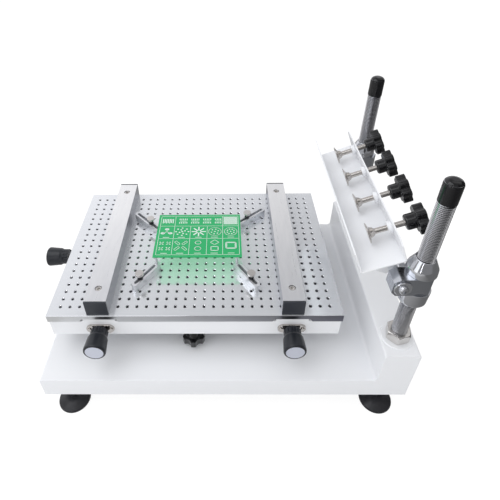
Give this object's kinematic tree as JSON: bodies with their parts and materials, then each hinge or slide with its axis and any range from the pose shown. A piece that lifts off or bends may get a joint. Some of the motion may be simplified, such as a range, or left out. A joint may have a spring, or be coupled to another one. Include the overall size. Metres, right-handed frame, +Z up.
{
  "type": "bench-top stencil printer",
  "caption": "Manual solder paste printer: white folded base on rubber feet, perforated platform with support bars and board holders, and a tilting stencil clamp on threaded posts.",
  "frame": {"origin": "on the floor under the middle of the machine's bounding box", "axes": "+X to the operator's right, towards the posts; +Y away from the operator; +Z up"},
  "size_m": [0.61, 0.382, 0.433],
  "materials": {
    "white_paint": "smooth powder coat",
    "plate_aluminium": "polished",
    "bar_aluminium": "brushed",
    "chrome": "bright plated",
    "steel": "satin",
    "black_rubber": "semi-matt",
    "black_plastic": "semi-gloss",
    "dark_plastic": "matt",
    "board_green": "solder mask over glass-epoxy laminate"
  },
  "bodies": {
    "frame": {"base_pan": "white_paint", "foot_pads": "black_rubber", "foot_studs": "chrome", "posts": "chrome", "post_nuts": "chrome", "post_washers": "white_paint", "post_caps": "black_rubber", "cross_clamps": "chrome", "upper_collars": "chrome", "lower_collars": "chrome", "pedestal": "steel"},
    "cross_carriage": {"carriage": "steel"},
    "platform": {"tray_slide": "steel", "tray": "white_paint", "tooling_plate": "plate_aluminium", "support_bars": "bar_aluminium", "bar_caps": "dark_plastic", "bar_screws": "steel", "holder_washers": "black_plastic", "holder_screws": "chrome", "holder_arms": "steel", "sample_board": "board_green", "knob_brackets": "steel", "lock_knob": "black_plastic"},
    "left_adjuster": {"left_knob": "black_plastic", "left_disc": "bar_aluminium", "left_spindle": "chrome"},
    "right_adjuster": {"right_knob": "black_plastic", "right_disc": "bar_aluminium", "right_spindle": "chrome"},
    "side_adjuster": {"side_knob": "black_plastic", "side_disc": "bar_aluminium", "side_spindle": "chrome"},
    "clamp": {"clamp_channel": "white_paint", "screw_bushes": "white_paint", "hinge_lugs": "white_paint", "hinge_shaft": "chrome"},
    "clamp_screw_1": {"screw_1": "chrome", "star_knob_1": "black_plastic"},
    "clamp_screw_2": {"screw_2": "chrome", "star_knob_2": "black_plastic"},
    "clamp_screw_3": {"screw_3": "chrome", "star_knob_3": "black_plastic"},
    "clamp_screw_4": {"screw_4": "chrome", "star_knob_4": "black_plastic"}
  },
  "joints": [
    {"name": "cross_travel", "type": "slide", "parent": "frame", "child": "cross_carriage", "axis": [1, 0, 0], "range_m": [-0.01, 0.01]},
    {"name": "feed_travel", "type": "slide", "parent": "cross_carriage", "child": "platform", "axis": [0, 1, 0], "range_m": [-0.01, 0.01]},
    {"name": "left_knob_turn", "type": "hinge", "parent": "platform", "child": "left_adjuster", "pos_m": [-0.173, -0.15, 0.135], "axis": [0, -1, 0], "continuous": true},
    {"name": "right_knob_turn", "type": "hinge", "parent": "platform", "child": "right_adjuster", "pos_m": [0.126, -0.15, 0.135], "axis": [0, -1, 0], "continuous": true},
    {"name": "side_knob_turn", "type": "hinge", "parent": "platform", "child": "side_adjuster", "pos_m": [-0.28, 0.0315, 0.135], "axis": [-1, 0, 0], "continuous": true},
    {"name": "clamp_tilt", "type": "hinge", "parent": "frame", "child": "clamp", "pos_m": [0.253, 0, 0.272], "axis": [0, 1, 0], "range_deg": [-68, 3]},
    {"name": "screw_1_travel", "type": "slide", "parent": "clamp", "child": "clamp_screw_1", "axis": [0.9272, 0, 0.3746], "range_m": [-0.01, 0.005]},
    {"name": "screw_2_travel", "type": "slide", "parent": "clamp", "child": "clamp_screw_2", "axis": [0.9272, 0, 0.3746], "range_m": [-0.01, 0.005]},
    {"name": "screw_3_travel", "type": "slide", "parent": "clamp", "child": "clamp_screw_3", "axis": [0.9272, 0, 0.3746], "range_m": [-0.01, 0.005]},
    {"name": "screw_4_travel", "type": "slide", "parent": "clamp", "child": "clamp_screw_4", "axis": [0.9272, 0, 0.3746], "range_m": [-0.01, 0.005]}
  ]
}
